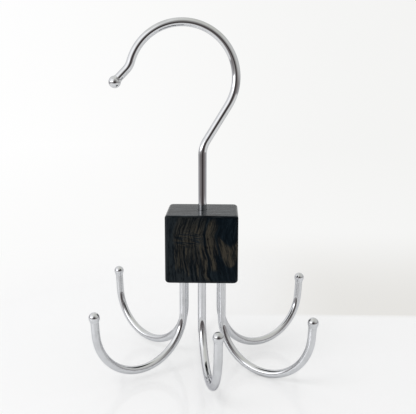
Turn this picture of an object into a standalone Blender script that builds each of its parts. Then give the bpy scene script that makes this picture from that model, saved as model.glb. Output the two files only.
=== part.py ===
"""Rotating closet hook: a wooden block that turns under a chromed top hook and carries six J hooks.

Units are metres, +Z is up. The origin is the place on the swivel axis where the closet rod touches
the inside of the top hook's crown, so the whole hook hangs below it. +X is to the right as the block's
front is seen, and the front faces -Y.
"""
from math import acos, cos, pi, radians, sin, sqrt

import bpy
from mathutils import Matrix, Vector

# Wooden block
BLOCK_WIDTH = 0.0382
BLOCK_DEPTH = 0.036
BLOCK_HEIGHT = 0.036
BLOCK_EDGE_RADIUS = 0.0016

# Top hook, from the block's top face to its ball, all bends in the XZ plane
TOP_WIRE_DIAMETER = 0.0045
TOP_STEM_LENGTH = 0.0293
NECK_LEAN = radians(31.6)
NECK_BEND_RADIUS = 0.015
NECK_LENGTH = 0.0213
CROWN_RADIUS = 0.028
CROWN_SWEEP = radians(195.0)
FLICK_RADIUS = 0.010
FLICK_SWEEP = radians(27.5)
TOP_TIP_LENGTH = 0.0088
TOP_BALL_DIAMETER = 0.0065

# Lower hooks, from the block's underside to their balls
HOOK_WIRE_DIAMETER = 0.0042
HOOK_DEPTH = 0.0454
HOOK_BEND_RADIUS = 0.0267
HOOK_BEND_SWEEP = radians(176.0)
HOOK_TIP_LENGTH = 0.0089
HOOK_BALL_DIAMETER = 0.0056
HOOK_HOLE_DEPTH = 0.016

# Ring of holes, and how far each hole, tip, drop and end differs, as drilled and set by hand
RING_RADIUS = 0.012
RING_TURN = radians(3.2)
HOLE_TURNS = {
    "front": radians(-2.4),
    "front_right": radians(0.0),
    "back_right": radians(1.7),
    "back": radians(1.0),
    "back_left": radians(-6.8),
    "front_left": radians(0.0),
}
TIP_TURNS = {
    "front": radians(6.7),
    "front_right": radians(-4.6),
    "back_right": radians(-3.1),
    "back": radians(-1.4),
    "back_left": radians(-12.3),
    "front_left": radians(5.0),
}
HOOK_DROP_SHARES = {
    "front": -0.006,
    "front_right": 0.063,
    "back_right": 0.007,
    "back": 0.0,
    "back_left": 0.004,
    "front_left": -0.006,
}
HOOK_TIP_SHARES = {
    "front": 1.0,
    "front_right": 0.915,
    "back_right": 1.095,
    "back": 1.0,
    "back_left": 1.234,
    "front_left": 1.0,
}

# Ball tips: a ball with a short flared collar, bored for the wire's spigot
COLLAR_FLARE_SHARE = 1.14
COLLAR_LENGTH = 0.0010
SPIGOT_DIAMETER = 0.0024
SPIGOT_LENGTH = 0.0030

# Swivel hardware on the top hook's threaded end, inside the block
THREAD_DIAMETER = 0.0040
BUSH_OUTER_DIAMETER = 0.0070
BUSH_LENGTH = 0.010
BUSH_FLANGE_DIAMETER = 0.0096
BUSH_FLANGE_THICKNESS = 0.0012
WASHER_DIAMETER = 0.0090
WASHER_THICKNESS = 0.0008
NUT_ACROSS_FLATS = 0.0070
SWIVEL_NUT_HEIGHT = 0.0032
LOCK_NUT_HEIGHT = 0.0022
NUT_CHAMFER = 0.0005
NUT_SIDES = 6
THREAD_END_LENGTH = 0.0010
POCKET_MARGIN = 0.0014
POCKET_SINK = 0.0025

# Clearances and cutting allowance
CLEARANCE = 0.0003
CUT_OVERRUN = 0.001
MERGE_DISTANCE = 0.00001
STEP_LENGTH = 0.0001

# Fineness of round shapes, in segments or angle
BEND_STEP = radians(8.0)
BALL_STEPS = 20
BALL_ARC_STEPS = 9
TURNED_STEPS = 28
HOLE_STEPS = 20
EDGE_SEGMENTS = 4
TOP_WIRE_RESOLUTION = 6
HOOK_WIRE_RESOLUTION = 4

# Sizes that follow from the ones above
TOP_WIRE_RADIUS = TOP_WIRE_DIAMETER / 2
HOOK_WIRE_RADIUS = HOOK_WIRE_DIAMETER / 2
THREAD_RADIUS = THREAD_DIAMETER / 2
NECK_END_X = NECK_BEND_RADIUS * (1 - cos(NECK_LEAN)) + NECK_LENGTH * sin(NECK_LEAN)
NECK_RISE = NECK_BEND_RADIUS * sin(NECK_LEAN) + NECK_LENGTH * cos(NECK_LEAN)
CROWN_CENTRE_X = NECK_END_X - CROWN_RADIUS * cos(NECK_LEAN)
CROWN_RISE = NECK_RISE + CROWN_RADIUS * sin(NECK_LEAN)
SEAT_RISE = sqrt((CROWN_RADIUS - TOP_WIRE_RADIUS) ** 2 - CROWN_CENTRE_X ** 2)
BLOCK_TOP_Z = -(TOP_STEM_LENGTH + CROWN_RISE + SEAT_RISE)
BLOCK_BASE_Z = BLOCK_TOP_Z - BLOCK_HEIGHT
LOCK_NUT_BASE_Z = BLOCK_BASE_Z + POCKET_SINK
SWIVEL_NUT_BASE_Z = LOCK_NUT_BASE_Z + LOCK_NUT_HEIGHT + CLEARANCE
WASHER_BASE_Z = SWIVEL_NUT_BASE_Z + SWIVEL_NUT_HEIGHT + CLEARANCE
BUSH_BASE_Z = WASHER_BASE_Z + WASHER_THICKNESS + CLEARANCE
POCKET_ROOF_Z = BUSH_BASE_Z + BUSH_FLANGE_THICKNESS + CLEARANCE
BUSH_TOP_Z = BUSH_BASE_Z + BUSH_FLANGE_THICKNESS + BUSH_LENGTH
SHOULDER_Z = BUSH_TOP_Z + CLEARANCE
THREAD_END_Z = LOCK_NUT_BASE_Z - THREAD_END_LENGTH
NUT_FACE_RADIUS = NUT_ACROSS_FLATS / 2
NUT_CORNER_RADIUS = NUT_FACE_RADIUS / cos(pi / NUT_SIDES)
POCKET_RADIUS = NUT_CORNER_RADIUS + POCKET_MARGIN

FINISHES = {
    "chrome": ((0.80, 0.81, 0.82, 1.0), 0.08, 1.0),
    "dark_wood": ((0.022, 0.019, 0.017, 1.0), 0.45, 0.0),
    "zinc_steel": ((0.62, 0.62, 0.60, 1.0), 0.35, 1.0),
    "nylon": ((0.85, 0.84, 0.80, 1.0), 0.50, 0.0),
}


def clear_scene():
    """Remove every object, so the model stands alone."""
    for item in list(bpy.data.objects):
        bpy.data.objects.remove(item, do_unlink=True)


def new_collection(name):
    """Make a collection under the scene's own one."""
    group = bpy.data.collections.new(name)
    bpy.context.scene.collection.children.link(group)
    return group


def finish_material(piece, finish):
    """Give a piece its own Principled material."""
    colour, roughness, metallic = FINISHES[finish]
    material = bpy.data.materials.new(piece.name + "_" + finish)
    material.use_nodes = True
    shader = material.node_tree.nodes["Principled BSDF"]
    shader.inputs["Base Color"].default_value = colour
    shader.inputs["Roughness"].default_value = roughness
    shader.inputs["Metallic"].default_value = metallic
    material.diffuse_color = colour
    piece.data.materials.append(material)


def add_axis(name, group):
    """An empty on the swivel axis, which carries the pieces of one body."""
    axis = bpy.data.objects.new(name, None)
    group.objects.link(axis)
    return axis


def move_to(piece, group, parent=None):
    """Put a new piece in its collection, under its parent."""
    for owner in list(piece.users_collection):
        owner.objects.unlink(piece)
    group.objects.link(piece)
    piece.parent = parent


def hide_cutter(cutter, group):
    """Keep a cutter out of the finished model."""
    move_to(cutter, group)
    cutter.hide_render = True
    cutter.display_type = "WIRE"


def cut(piece, cutter, name, operation="DIFFERENCE"):
    """Add an exact Boolean with one cutter."""
    boolean = piece.modifiers.new(name, "BOOLEAN")
    boolean.operation = operation
    boolean.solver = "EXACT"
    boolean.object = cutter


def turned(name, profile, steps):
    """A turned solid. Its profile (radius, height) runs down the outer side and closes by itself."""
    mesh = bpy.data.meshes.new(name)
    count = len(profile)
    edges = [(i, i + 1) for i in range(count - 1)]
    if profile[0][0] > 0 or profile[-1][0] > 0:
        edges.append((count - 1, 0))
    mesh.from_pydata([(radius, 0.0, height) for radius, height in profile], edges, [])
    piece = bpy.data.objects.new(name, mesh)
    bpy.context.scene.collection.objects.link(piece)
    screw = piece.modifiers.new("turn", "SCREW")
    screw.axis = "Z"
    screw.steps = steps
    screw.render_steps = steps
    screw.use_merge_vertices = True
    screw.merge_threshold = MERGE_DISTANCE
    screw.use_smooth_shade = True
    return piece


def round_bar(name, radius, low, high, steps):
    """A plain cylinder on Z between two heights."""
    bpy.ops.mesh.primitive_cylinder_add(
        vertices=steps, radius=radius, depth=high - low, location=(0, 0, (low + high) / 2)
    )
    bar = bpy.context.object
    bar.name = name
    return bar


def bend_points(start, heading, radius, sweep):
    """Points round a bend in the XZ plane. A positive sweep turns to the left of the heading."""
    side = 1 if sweep > 0 else -1
    normal = Vector((-sin(heading), 0, cos(heading))) * side
    centre = start + normal * radius
    count = max(2, round(abs(sweep) / BEND_STEP))
    points = []
    for i in range(1, count + 1):
        turned_heading = heading + sweep * i / count
        normal = Vector((-sin(turned_heading), 0, cos(turned_heading))) * side
        points.append(centre - normal * radius)
    return points, heading + sweep


def forward(start, heading, length):
    """The point a straight length ahead in the XZ plane."""
    return start + Vector((cos(heading), 0, sin(heading))) * length


def wire(name, route, radii, diameter, resolution):
    """A bent wire: a curve through the route, with a share of the full radius at each point."""
    data = bpy.data.curves.new(name, "CURVE")
    data.dimensions = "3D"
    data.bevel_depth = diameter / 2
    data.bevel_resolution = resolution
    data.use_fill_caps = True
    spline = data.splines.new("POLY")
    spline.points.add(len(route) - 1)
    for point, place, share in zip(spline.points, route, radii):
        point.co = (*place, 1.0)
        point.radius = share
    spline.use_smooth = True
    return bpy.data.objects.new(name, data)


def collar_drop(ball_diameter, wire_diameter):
    """How far the collar's lower face lies under the ball's centre."""
    flare = wire_diameter / 2 * COLLAR_FLARE_SHARE
    return sqrt((ball_diameter / 2) ** 2 - flare ** 2) + COLLAR_LENGTH


def tip_points(start, heading, tip_length, ball_diameter, wire_diameter):
    """The wire's end: full size up to the collar, then the spigot inside the ball."""
    shoulder = tip_length - collar_drop(ball_diameter, wire_diameter) - CLEARANCE
    share = SPIGOT_DIAMETER / wire_diameter
    places = [
        (shoulder - STEP_LENGTH, 1.0),
        (shoulder, share),
        (shoulder + SPIGOT_LENGTH, share),
    ]
    return [(forward(start, heading, length), size) for length, size in places]


def ball_tip(name, ball_diameter, wire_diameter):
    """A ball with its collar and blind bore, centred on the origin with the wire below it."""
    ball_radius = ball_diameter / 2
    collar_top = wire_diameter / 2 * COLLAR_FLARE_SHARE
    collar_low = wire_diameter / 2
    collar_z = -collar_drop(ball_diameter, wire_diameter)
    bore = SPIGOT_DIAMETER / 2 + CLEARANCE
    bore_top = collar_z + SPIGOT_LENGTH
    last = pi - acos(sqrt(ball_radius ** 2 - collar_top ** 2) / ball_radius)
    angles = [last * i / BALL_ARC_STEPS for i in range(BALL_ARC_STEPS + 1)]
    profile = [(ball_radius * sin(a), ball_radius * cos(a)) for a in angles]
    profile[0] = (0.0, ball_radius)
    profile += [(collar_low, collar_z), (bore, collar_z), (bore, bore_top), (0.0, bore_top)]
    return turned(name, profile, BALL_STEPS)


def make_top_hook(group, axis):
    """The top hook's wire and its ball."""
    thread_share = THREAD_DIAMETER / TOP_WIRE_DIAMETER
    up = pi / 2
    route = [
        (Vector((0, 0, THREAD_END_Z)), thread_share),
        (Vector((0, 0, SHOULDER_Z)), thread_share),
        (Vector((0, 0, SHOULDER_Z + STEP_LENGTH)), 1.0),
    ]
    place = Vector((0, 0, BLOCK_TOP_Z + TOP_STEM_LENGTH))
    route.append((place, 1.0))
    neck, heading = bend_points(place, up, NECK_BEND_RADIUS, -NECK_LEAN)
    route += [(point, 1.0) for point in neck]
    place = forward(neck[-1], heading, NECK_LENGTH)
    route.append((place, 1.0))
    crown, heading = bend_points(place, heading, CROWN_RADIUS, CROWN_SWEEP)
    route += [(point, 1.0) for point in crown]
    flick, heading = bend_points(crown[-1], heading, FLICK_RADIUS, -FLICK_SWEEP)
    route += [(point, 1.0) for point in flick]
    route += tip_points(flick[-1], heading, TOP_TIP_LENGTH, TOP_BALL_DIAMETER, TOP_WIRE_DIAMETER)
    places, radii = zip(*route)
    hook = wire("top_hook", places, radii, TOP_WIRE_DIAMETER, TOP_WIRE_RESOLUTION)
    move_to(hook, group, axis)
    finish_material(hook, "chrome")
    ball = ball_tip("top_ball", TOP_BALL_DIAMETER, TOP_WIRE_DIAMETER)
    move_to(ball, group, hook)
    ball.location = forward(flick[-1], heading, TOP_TIP_LENGTH)
    ball.rotation_euler = (0, up - heading, 0)
    finish_material(ball, "chrome")


def hook_route(drop, tip_length):
    """A lower hook in its own XZ plane, with its hole's mouth at the origin and its tip towards +X.

    It returns the route, the ball's place and the heading there.
    """
    down = -pi / 2
    straight = HOOK_DEPTH - HOOK_BEND_RADIUS + drop
    start = Vector((0, 0, HOOK_HOLE_DEPTH - CLEARANCE))
    bottom = Vector((0, 0, -straight))
    route = [(start, 1.0), (bottom, 1.0)]
    bend, heading = bend_points(bottom, down, HOOK_BEND_RADIUS, HOOK_BEND_SWEEP)
    route += [(point, 1.0) for point in bend]
    route += tip_points(bend[-1], heading, tip_length, HOOK_BALL_DIAMETER, HOOK_WIRE_DIAMETER)
    return route, forward(bend[-1], heading, tip_length), heading


def ring_places():
    """Each lower hook's name, the angle of its hole on the ring and the way that its tip points."""
    step = 2 * pi / len(TIP_TURNS)
    for number, (place, tip_turn) in enumerate(TIP_TURNS.items()):
        even = -pi / 2 + step * number + RING_TURN
        yield place, even + HOLE_TURNS[place], even + tip_turn


def make_lower_hooks(group, axis):
    """The six J hooks and their balls, each set into its own hole."""
    for place, angle, aim in ring_places():
        drop = HOOK_DEPTH * HOOK_DROP_SHARES[place]
        tip_length = HOOK_TIP_LENGTH * HOOK_TIP_SHARES[place]
        route, tip, heading = hook_route(drop, tip_length)
        places, radii = zip(*route)
        hook = wire("hook_" + place, places, radii, HOOK_WIRE_DIAMETER, HOOK_WIRE_RESOLUTION)
        move_to(hook, group, axis)
        hook.location = (RING_RADIUS * cos(angle), RING_RADIUS * sin(angle), BLOCK_BASE_Z)
        hook.rotation_euler = (0, 0, aim)
        finish_material(hook, "chrome")
        ball = ball_tip("ball_" + place, HOOK_BALL_DIAMETER, HOOK_WIRE_DIAMETER)
        move_to(ball, group, hook)
        ball.location = tip
        ball.rotation_euler = (0, pi / 2 - heading, 0)
        finish_material(ball, "chrome")


def axis_cutter():
    """The stepped bore on the swivel axis: pocket for the nuts, seat for the bush, bore for the stem."""
    bush_bore = BUSH_OUTER_DIAMETER / 2 + CLEARANCE
    stem_bore = TOP_WIRE_RADIUS + CLEARANCE
    top = BLOCK_TOP_Z + CUT_OVERRUN
    base = BLOCK_BASE_Z - CUT_OVERRUN
    profile = [
        (0.0, top),
        (stem_bore, top),
        (stem_bore, SHOULDER_Z),
        (bush_bore, SHOULDER_Z),
        (bush_bore, POCKET_ROOF_Z),
        (POCKET_RADIUS, POCKET_ROOF_Z),
        (POCKET_RADIUS, base),
        (0.0, base),
    ]
    return turned("cut_axis", profile, TURNED_STEPS)


def make_block(group, cutters, axis):
    """The wooden block with its rounded edges, its stepped bore and the ring of blind holes."""
    bpy.ops.mesh.primitive_cube_add(size=1, location=(0, 0, BLOCK_BASE_Z + BLOCK_HEIGHT / 2))
    block = bpy.context.object
    block.name = "block"
    block.data.transform(Matrix.Diagonal((BLOCK_WIDTH, BLOCK_DEPTH, BLOCK_HEIGHT, 1)))
    move_to(block, group, axis)
    bevel = block.modifiers.new("rounded_edges", "BEVEL")
    bevel.width = BLOCK_EDGE_RADIUS
    bevel.segments = EDGE_SEGMENTS
    cutter = axis_cutter()
    hide_cutter(cutter, cutters)
    cut(block, cutter, "stepped_bore")
    for place, angle, _ in ring_places():
        hole = round_bar(
            "cut_" + place,
            HOOK_WIRE_RADIUS + CLEARANCE,
            BLOCK_BASE_Z - CUT_OVERRUN,
            BLOCK_BASE_Z + HOOK_HOLE_DEPTH,
            HOLE_STEPS,
        )
        hole.location.x = RING_RADIUS * cos(angle)
        hole.location.y = RING_RADIUS * sin(angle)
        hide_cutter(hole, cutters)
        cut(block, hole, "hole_" + place)
    finish_material(block, "dark_wood")


def make_bush(group, axis):
    """The flanged nylon bush in which the top hook's reduced end turns."""
    bore = THREAD_RADIUS + CLEARANCE
    flange_top = BUSH_BASE_Z + BUSH_FLANGE_THICKNESS
    profile = [
        (bore, BUSH_TOP_Z),
        (BUSH_OUTER_DIAMETER / 2, BUSH_TOP_Z),
        (BUSH_OUTER_DIAMETER / 2, flange_top),
        (BUSH_FLANGE_DIAMETER / 2, flange_top),
        (BUSH_FLANGE_DIAMETER / 2, BUSH_BASE_Z),
        (bore, BUSH_BASE_Z),
    ]
    bush = turned("swivel_bush", profile, TURNED_STEPS)
    move_to(bush, group, axis)
    finish_material(bush, "nylon")


def make_washer(group, axis):
    """The thrust washer under the bush's flange."""
    bore = THREAD_RADIUS + CLEARANCE
    top = WASHER_BASE_Z + WASHER_THICKNESS
    profile = [
        (bore, top),
        (WASHER_DIAMETER / 2, top),
        (WASHER_DIAMETER / 2, WASHER_BASE_Z),
        (bore, WASHER_BASE_Z),
    ]
    washer = turned("thrust_washer", profile, TURNED_STEPS)
    move_to(washer, group, axis)
    finish_material(washer, "zinc_steel")


def make_nut(name, base, height, group, cutters, axis):
    """A hexagon nut with chamfered corners and a plain bore for the thread."""
    top = base + height
    nut = round_bar(name, NUT_CORNER_RADIUS, base, top, NUT_SIDES)
    move_to(nut, group, axis)
    rim = NUT_CORNER_RADIUS + STEP_LENGTH
    slope = NUT_CHAMFER / (NUT_CORNER_RADIUS - NUT_FACE_RADIUS)
    drop = slope * (rim - NUT_FACE_RADIUS)
    profile = [
        (0.0, top),
        (NUT_FACE_RADIUS, top),
        (rim, top - drop),
        (rim, base + drop),
        (NUT_FACE_RADIUS, base),
        (0.0, base),
    ]
    chamfer = turned("cut_chamfer_" + name, profile, TURNED_STEPS)
    hide_cutter(chamfer, cutters)
    cut(nut, chamfer, "chamfers", "INTERSECT")
    bore_radius = THREAD_RADIUS + CLEARANCE
    bore = round_bar("cut_bore_" + name, bore_radius, base - CUT_OVERRUN, top + CUT_OVERRUN, TURNED_STEPS)
    hide_cutter(bore, cutters)
    cut(nut, bore, "bore")
    finish_material(nut, "zinc_steel")


def main():
    """Build the whole hook."""
    clear_scene()
    model = new_collection("rotating_closet_hook")
    cutters = new_collection("cutters")
    hanger = add_axis("hanger_axis", model)
    carrier = add_axis("carrier_axis", model)
    make_top_hook(model, hanger)
    make_washer(model, hanger)
    make_nut("swivel_nut", SWIVEL_NUT_BASE_Z, SWIVEL_NUT_HEIGHT, model, cutters, hanger)
    make_nut("lock_nut", LOCK_NUT_BASE_Z, LOCK_NUT_HEIGHT, model, cutters, hanger)
    make_block(model, cutters, carrier)
    make_bush(model, carrier)
    make_lower_hooks(model, carrier)


main()
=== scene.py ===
"""Looks of the rotating closet hook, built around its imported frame.

Lengths are metres and +Z is up. The origin is the place on the swivel axis where the closet rod touches the
inside of the crook. +X is to the right as the block's front is seen, and the front faces -Y.
"""
import logging
from dataclasses import dataclass, field
from enum import Enum
from math import cos, pi, radians, sin, sqrt
from typing import Any, Optional, Sequence, Union

import bpy
from mathutils import Matrix, Vector


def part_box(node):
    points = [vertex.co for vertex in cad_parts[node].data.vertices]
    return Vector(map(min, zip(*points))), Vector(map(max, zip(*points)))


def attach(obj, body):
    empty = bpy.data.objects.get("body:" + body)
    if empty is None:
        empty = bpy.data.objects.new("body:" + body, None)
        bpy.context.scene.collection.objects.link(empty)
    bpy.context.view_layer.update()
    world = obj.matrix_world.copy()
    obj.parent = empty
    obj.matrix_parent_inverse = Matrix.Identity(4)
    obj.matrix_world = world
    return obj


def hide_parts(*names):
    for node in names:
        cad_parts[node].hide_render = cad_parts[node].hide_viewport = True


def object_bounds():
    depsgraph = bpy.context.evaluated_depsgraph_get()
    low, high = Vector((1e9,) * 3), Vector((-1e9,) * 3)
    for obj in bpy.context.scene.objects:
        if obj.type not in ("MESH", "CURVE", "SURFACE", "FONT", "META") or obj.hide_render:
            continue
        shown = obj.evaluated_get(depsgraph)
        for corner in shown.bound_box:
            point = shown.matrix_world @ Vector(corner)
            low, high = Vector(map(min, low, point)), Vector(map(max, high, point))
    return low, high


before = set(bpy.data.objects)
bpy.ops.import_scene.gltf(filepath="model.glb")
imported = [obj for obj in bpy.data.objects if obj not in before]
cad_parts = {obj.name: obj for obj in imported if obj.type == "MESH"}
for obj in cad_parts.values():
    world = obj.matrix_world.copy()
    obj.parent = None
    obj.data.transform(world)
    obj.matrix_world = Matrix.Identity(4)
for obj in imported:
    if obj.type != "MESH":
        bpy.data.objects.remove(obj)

CAD_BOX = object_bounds()
UP = Vector((0.0, 0.0, 1.0))
BLOCK_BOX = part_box("block")
BLOCK_HALF = (BLOCK_BOX[1] - BLOCK_BOX[0]) / 2
WELD_DISTANCE = 0.000001
SMOOTH_ANGLE = radians(35.0)
MILLIMETRES = 1000.0

log = logging.getLogger("closet_hook")

Socket = bpy.types.NodeSocket
Feed = Union[Socket, float, Sequence[float]]
Colour = tuple[float, float, float]


class Slot(Enum):
    """The record's material slots."""

    CHROME = "chrome"
    WOOD = "dark_wood"
    ZINC = "zinc_steel"
    NYLON = "nylon"


class Body(Enum):
    """The bodies that the swivel joins."""

    HANGER = "hanger"
    CARRIER = "carrier"


class NodeSheet:
    """Short ways to place, set and join the nodes of one tree."""

    def __init__(self, tree: bpy.types.NodeTree) -> None:
        """Work in one node tree.

        Args:
            tree: The tree that the nodes go into.
        """
        self.tree = tree

    def node(self, kind: str, **settings: Any) -> bpy.types.Node:
        """Add a node and set its properties.

        Args:
            kind: The node's type, without its ShaderNode prefix.
            **settings: Properties of the node, by name.

        Returns:
            The new node.
        """
        made = self.tree.nodes.new("ShaderNode" + kind)
        for name, value in settings.items():
            setattr(made, name, value)
        return made

    def feed(self, socket: Socket, value: Feed) -> None:
        """Join a socket to another, or set its own value.

        Args:
            socket: The input socket.
            value: An output socket, a number or a row of numbers.
        """
        if isinstance(value, bpy.types.NodeSocket):
            self.tree.links.new(value, socket)
        else:
            socket.default_value = value

    def math(self, operation: str, first: Feed, second: Feed = 0.0, clamp: bool = False) -> Socket:
        """Reckon with two values.

        Args:
            operation: The Math node's operation.
            first: The first value.
            second: The second value, where the operation takes one.
            clamp: Whether the result is kept between 0 and 1.

        Returns:
            The result's socket.
        """
        made = self.node("Math", operation=operation, use_clamp=clamp)
        self.feed(made.inputs[0], first)
        self.feed(made.inputs[1], second)
        return made.outputs[0]

    def sum(self, *values: Feed) -> Socket:
        """Add up any number of values.

        Args:
            *values: Sockets or numbers.

        Returns:
            The sum's socket.
        """
        total = values[0]
        for value in values[1:]:
            total = self.math("ADD", total, value)
        return total

    def step(self, value: Feed, low: float, high: float, start: float = 0.0, end: float = 1.0) -> Socket:
        """A smooth step between two levels.

        Args:
            value: What is measured.
            low: The level where the step begins.
            high: The level where it ends.
            start: The result up to the lower level.
            end: The result from the upper level on.

        Returns:
            The result's socket.
        """
        made = self.node("MapRange", interpolation_type="SMOOTHSTEP")
        for name, number in (("From Min", low), ("From Max", high), ("To Min", start), ("To Max", end)):
            made.inputs[name].default_value = number
        self.feed(made.inputs["Value"], value)
        return made.outputs["Result"]

    def mix(self, share: Feed, first: Feed, second: Feed) -> Socket:
        """Mix two colours.

        Args:
            share: The share of the second colour.
            first: The first colour.
            second: The second colour.

        Returns:
            The mixed colour's socket.
        """
        made = self.node("Mix", data_type="RGBA")
        self.feed(made.inputs["Factor"], share)
        for name, value in (("A", first), ("B", second)):
            socket = next(s for s in made.inputs if s.name == name and s.type == "RGBA")
            plain = not isinstance(value, bpy.types.NodeSocket)
            self.feed(socket, (*value, 1.0) if plain else value)
        return next(s for s in made.outputs if s.type == "RGBA")

    def noise(self, place: Socket, scale: float, detail: float = 2.0, roughness: float = 0.5) -> Socket:
        """Even three-way noise.

        Args:
            place: The coordinates that it is read at.
            scale: Cells per unit of those coordinates.
            detail: Finer layers on top.
            roughness: How strong the finer layers are.

        Returns:
            The noise's value, around one half.
        """
        made = self.node("TexNoise")
        self.feed(made.inputs["Vector"], place)
        for name, number in (("Scale", scale), ("Detail", detail), ("Roughness", roughness)):
            made.inputs[name].default_value = number
        return made.outputs["Fac"]

    def split(self, vector: Socket) -> tuple[Socket, Socket, Socket]:
        """The three parts of a vector.

        Args:
            vector: The vector's socket.

        Returns:
            The sockets of X, Y and Z.
        """
        made = self.node("SeparateXYZ")
        self.feed(made.inputs[0], vector)
        return made.outputs[0], made.outputs[1], made.outputs[2]

    def vector(self, x: Feed, y: Feed, z: Feed) -> Socket:
        """A vector from three values.

        Args:
            x: Its X.
            y: Its Y.
            z: Its Z.

        Returns:
            The vector's socket.
        """
        made = self.node("CombineXYZ")
        for socket, value in zip(made.inputs, (x, y, z)):
            self.feed(socket, value)
        return made.outputs[0]

    def placed(self, scale: Sequence[float], centre: Vector = Vector()) -> Socket:
        """Object coordinates, centred and stretched.

        Args:
            scale: Units of pattern per metre, along each axis.
            centre: The place that becomes the pattern's zero.

        Returns:
            The coordinates' socket.
        """
        source = self.node("TexCoord")
        mapping = self.node("Mapping", vector_type="POINT")
        mapping.inputs["Scale"].default_value = scale
        mapping.inputs["Location"].default_value = [-c * s for c, s in zip(centre, scale)]
        self.feed(mapping.inputs["Vector"], source.outputs["Object"])
        return mapping.outputs["Vector"]


class GroupShelf:
    """The node groups that more than one finish uses, each made once."""

    def __init__(self) -> None:
        """Start with no groups made."""
        self.made: dict[str, bpy.types.ShaderNodeTree] = {}

    def group(self, name: str, inputs: dict[str, str], outputs: dict[str, str]) -> tuple[NodeSheet, Any, Any]:
        """Open a new group with its sockets.

        Args:
            name: The group's name.
            inputs: Each input's name and kind of socket.
            outputs: Each output's name and kind of socket.

        Returns:
            A sheet on the group, its input node and its output node.
        """
        tree = bpy.data.node_groups.new(name, "ShaderNodeTree")
        for side, sockets in (("INPUT", inputs), ("OUTPUT", outputs)):
            for label, kind in sockets.items():
                tree.interface.new_socket(name=label, in_out=side, socket_type="NodeSocket" + kind)
        self.made[name] = tree
        return NodeSheet(tree), tree.nodes.new("NodeGroupInput"), tree.nodes.new("NodeGroupOutput")

    def handling_marks(self) -> bpy.types.ShaderNodeTree:
        """Marks that handling leaves on a hard surface: fine scratches, smudges and dust.

        Returns:
            The group, with masks for scratches, smudges and specks.
        """
        if "handling_marks" in self.made:
            return self.made["handling_marks"]
        sheet, inside, outside = self.group(
            "handling_marks",
            {"Place": "Vector", "Smudge Scale": "Float", "Scratch Scale": "Float"},
            {"Smudge": "Float", "Scratch": "Float", "Speck": "Float"},
        )
        scaled = sheet.node("VectorMath", operation="SCALE")
        sheet.feed(scaled.inputs[0], inside.outputs["Place"])
        sheet.feed(scaled.inputs["Scale"], inside.outputs["Smudge Scale"])
        cloud = sheet.noise(scaled.outputs[0], 1.0, detail=4.0, roughness=0.6)
        sheet.feed(outside.inputs["Smudge"], sheet.step(cloud, 0.48, 0.68))
        fine = sheet.node("VectorMath", operation="SCALE")
        sheet.feed(fine.inputs[0], inside.outputs["Place"])
        sheet.feed(fine.inputs["Scale"], inside.outputs["Scratch Scale"])
        lines: list[Socket] = []
        for turn, stretch in ((0.4, 0.03), (1.9, 0.05)):
            turned = sheet.node("Mapping", vector_type="POINT")
            turned.inputs["Rotation"].default_value = (turn, turn * 2.0, turn * 3.0)
            turned.inputs["Scale"].default_value = (1.0, stretch, 1.0)
            sheet.feed(turned.inputs["Vector"], fine.outputs[0])
            lines.append(sheet.step(sheet.noise(turned.outputs[0], 1.0, detail=1.0), 0.70, 0.76))
        sheet.feed(outside.inputs["Scratch"], sheet.math("MAXIMUM", lines[0], lines[1]))
        specks = sheet.node("TexVoronoi", feature="F1")
        sheet.feed(specks.inputs["Vector"], fine.outputs[0])
        specks.inputs["Scale"].default_value = 0.35
        sheet.feed(outside.inputs["Speck"], sheet.step(specks.outputs["Distance"], 0.10, 0.04))
        return self.made["handling_marks"]

    def box_edges(self) -> bpy.types.ShaderNodeTree:
        """How near a place on a box is to one of its edges.

        Returns:
            The group, with a mask that is 1 on the edges and 0 away from them.
        """
        if "box_edges" in self.made:
            return self.made["box_edges"]
        sheet, inside, outside = self.group(
            "box_edges",
            {"Place": "Vector", "Half Size": "Vector", "Reach": "Float", "Unevenness": "Float"},
            {"Edge": "Float"},
        )
        inset = sheet.node("VectorMath", operation="ABSOLUTE")
        sheet.feed(inset.inputs[0], inside.outputs["Place"])
        depth = sheet.node("VectorMath", operation="SUBTRACT")
        sheet.feed(depth.inputs[0], inside.outputs["Half Size"])
        sheet.feed(depth.inputs[1], inset.outputs[0])
        x, y, z = sheet.split(depth.outputs[0])
        lowest = sheet.math("MINIMUM", sheet.math("MINIMUM", x, y), z)
        highest = sheet.math("MAXIMUM", sheet.math("MAXIMUM", x, y), z)
        middle = sheet.math("SUBTRACT", sheet.math("SUBTRACT", sheet.sum(x, y, z), lowest), highest)
        ripple = sheet.math("SUBTRACT", sheet.noise(inside.outputs["Place"], 0.9, detail=3.0), 0.5)
        ripple = sheet.math("MULTIPLY", ripple, inside.outputs["Unevenness"])
        near = sheet.math("DIVIDE", sheet.sum(middle, ripple), inside.outputs["Reach"])
        sheet.feed(outside.inputs["Edge"], sheet.step(near, 1.0, 0.0))
        return self.made["box_edges"]


SHELF = GroupShelf()


def new_material(name: str) -> tuple[bpy.types.Material, NodeSheet, bpy.types.Node]:
    """An empty node material with a Principled shader.

    Args:
        name: The material's name.

    Returns:
        The material, a sheet on its tree and the shader.
    """
    material = bpy.data.materials.new(name)
    material.use_nodes = True
    sheet = NodeSheet(material.node_tree)
    return material, sheet, material.node_tree.nodes["Principled BSDF"]


def use_group(sheet: NodeSheet, tree: bpy.types.ShaderNodeTree, **values: Feed) -> bpy.types.Node:
    """Place a shared group in a material.

    Args:
        sheet: The material's sheet.
        tree: The group.
        **values: Its inputs, with _ for the blanks in their names.

    Returns:
        The group's node.
    """
    made = sheet.node("Group", node_tree=tree)
    for name, value in values.items():
        sheet.feed(made.inputs[name.replace("_", " ")], value)
    return made


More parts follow.
